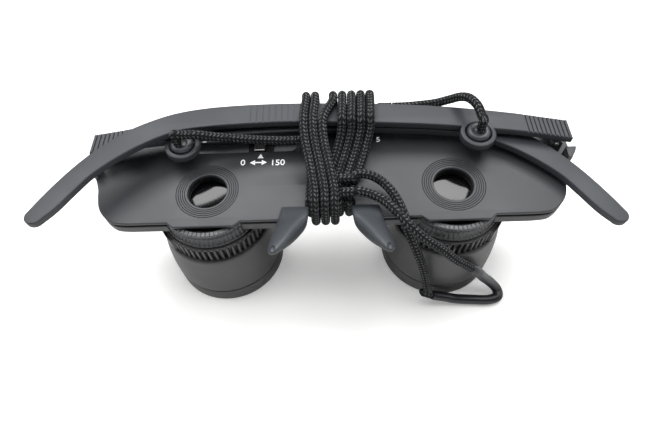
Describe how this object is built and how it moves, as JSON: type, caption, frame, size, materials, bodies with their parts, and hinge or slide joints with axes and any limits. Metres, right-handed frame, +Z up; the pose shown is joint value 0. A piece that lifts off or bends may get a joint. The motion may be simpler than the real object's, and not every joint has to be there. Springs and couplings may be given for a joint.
{
  "type": "binocular glasses",
  "caption": "Low-power binocular glasses on a spectacle plate, with folding temples, focus rings, diopter slider, soft nose pads and a neck cord wound round the bridge.",
  "frame": {"origin": "under the middle of the rigid pieces, on the surface on which the two objective rims stand", "axes": "+X to the right across both telescopes, +Y towards the brow, +Z up to the side that faces the wearer"},
  "size_m": [0.142, 0.0474, 0.0467],
  "materials": {
    "shell": "satin",
    "cover": "fine textured",
    "barrel": "satin",
    "ring": "semi-gloss",
    "inner": "matt",
    "temple": "fine textured",
    "rubber": "soft satin",
    "glass": "coated clear",
    "metal": "brushed",
    "cord": "braided",
    "sleeve": "smooth"
  },
  "bodies": {
    "root": {"back_cover": "cover", "front_housing": "shell", "slider_tray": "inner", "cover_screw_outer_left": "metal", "cover_screw_inner_left": "metal", "cover_screw_inner_right": "metal", "cover_screw_outer_right": "metal", "cover_screw_front_left": "metal", "cover_screw_front_right": "metal", "objective_bezel_left": "barrel", "barrel_left": "barrel", "eyepiece_collar_left": "ring", "eyepiece_tube_left": "inner", "eyepiece_lens_left": "glass", "hinge_lug_left": "shell", "hinge_pin_left": "metal", "nose_pad_left": "rubber", "cord_lead_left": "cord", "objective_bezel_right": "barrel", "barrel_right": "barrel", "eyepiece_collar_right": "ring", "eyepiece_tube_right": "inner", "eyepiece_lens_right": "glass", "hinge_lug_right": "shell", "hinge_pin_right": "metal", "nose_pad_right": "rubber", "cord_lead_right": "cord", "cord_winding": "cord", "cord_strand_upper": "cord", "cord_strand_lower": "cord", "cord_sleeve": "sleeve"},
    "focus_ring_left": {"focus_ring_left": "ring"},
    "objective_cell_left": {"objective_cell_left": "inner", "objective_lens_left": "glass"},
    "focus_ring_right": {"focus_ring_right": "ring"},
    "objective_cell_right": {"objective_cell_right": "inner", "objective_lens_right": "glass"},
    "diopter_slider": {"diopter_slider": "ring"},
    "temple_left": {"temple_left": "temple", "cord_bead_left": "rubber"},
    "temple_right": {"temple_right": "temple", "cord_bead_right": "rubber"}
  },
  "joints": [
    {"name": "temple_right_hinge", "type": "hinge", "parent": "root", "child": "temple_right", "pos_m": [0.05973, 0.01265, 0.0363], "axis": [0, 1, 0], "range_deg": [0, 90.5], "deforming": ["cord_winding", "cord_lead_left", "cord_lead_right"]},
    {"name": "temple_left_hinge", "type": "hinge", "parent": "root", "child": "temple_left", "pos_m": [-0.05987, 0.01265, 0.0363], "axis": [0, -1, 0], "range_deg": [0, 93.5], "deforming": ["cord_winding", "cord_lead_left", "cord_lead_right"]},
    {"name": "focus_ring_left_turn", "type": "hinge", "parent": "root", "child": "focus_ring_left", "pos_m": [-0.03207, -0.00015, 0.0244], "axis": [0, 0, 1], "range_deg": [-60, 60]},
    {"name": "objective_cell_left_slide", "type": "slide", "parent": "root", "child": "objective_cell_left", "axis": [0, 0, 1], "range_m": [-0.001, 0.001]},
    {"name": "focus_ring_right_turn", "type": "hinge", "parent": "root", "child": "focus_ring_right", "pos_m": [0.03193, -0.00015, 0.0244], "axis": [0, 0, 1], "range_deg": [-60, 60]},
    {"name": "objective_cell_right_slide", "type": "slide", "parent": "root", "child": "objective_cell_right", "axis": [0, 0, 1], "range_m": [-0.001, 0.001]},
    {"name": "diopter_slide", "type": "slide", "parent": "root", "child": "diopter_slider", "axis": [1, 0, 0], "range_m": [-0.0178, 0.0063]}
  ],
  "couplings": [
    {"joint": "focus_ring_left_turn", "follows": "objective_cell_left_slide", "rad_per_m": 1047.2},
    {"joint": "focus_ring_right_turn", "follows": "objective_cell_right_slide", "rad_per_m": 1047.2},
    {"joint": "temple_left_hinge", "follows": "temple_right_hinge", "ratio": 0.0331}
  ]
}
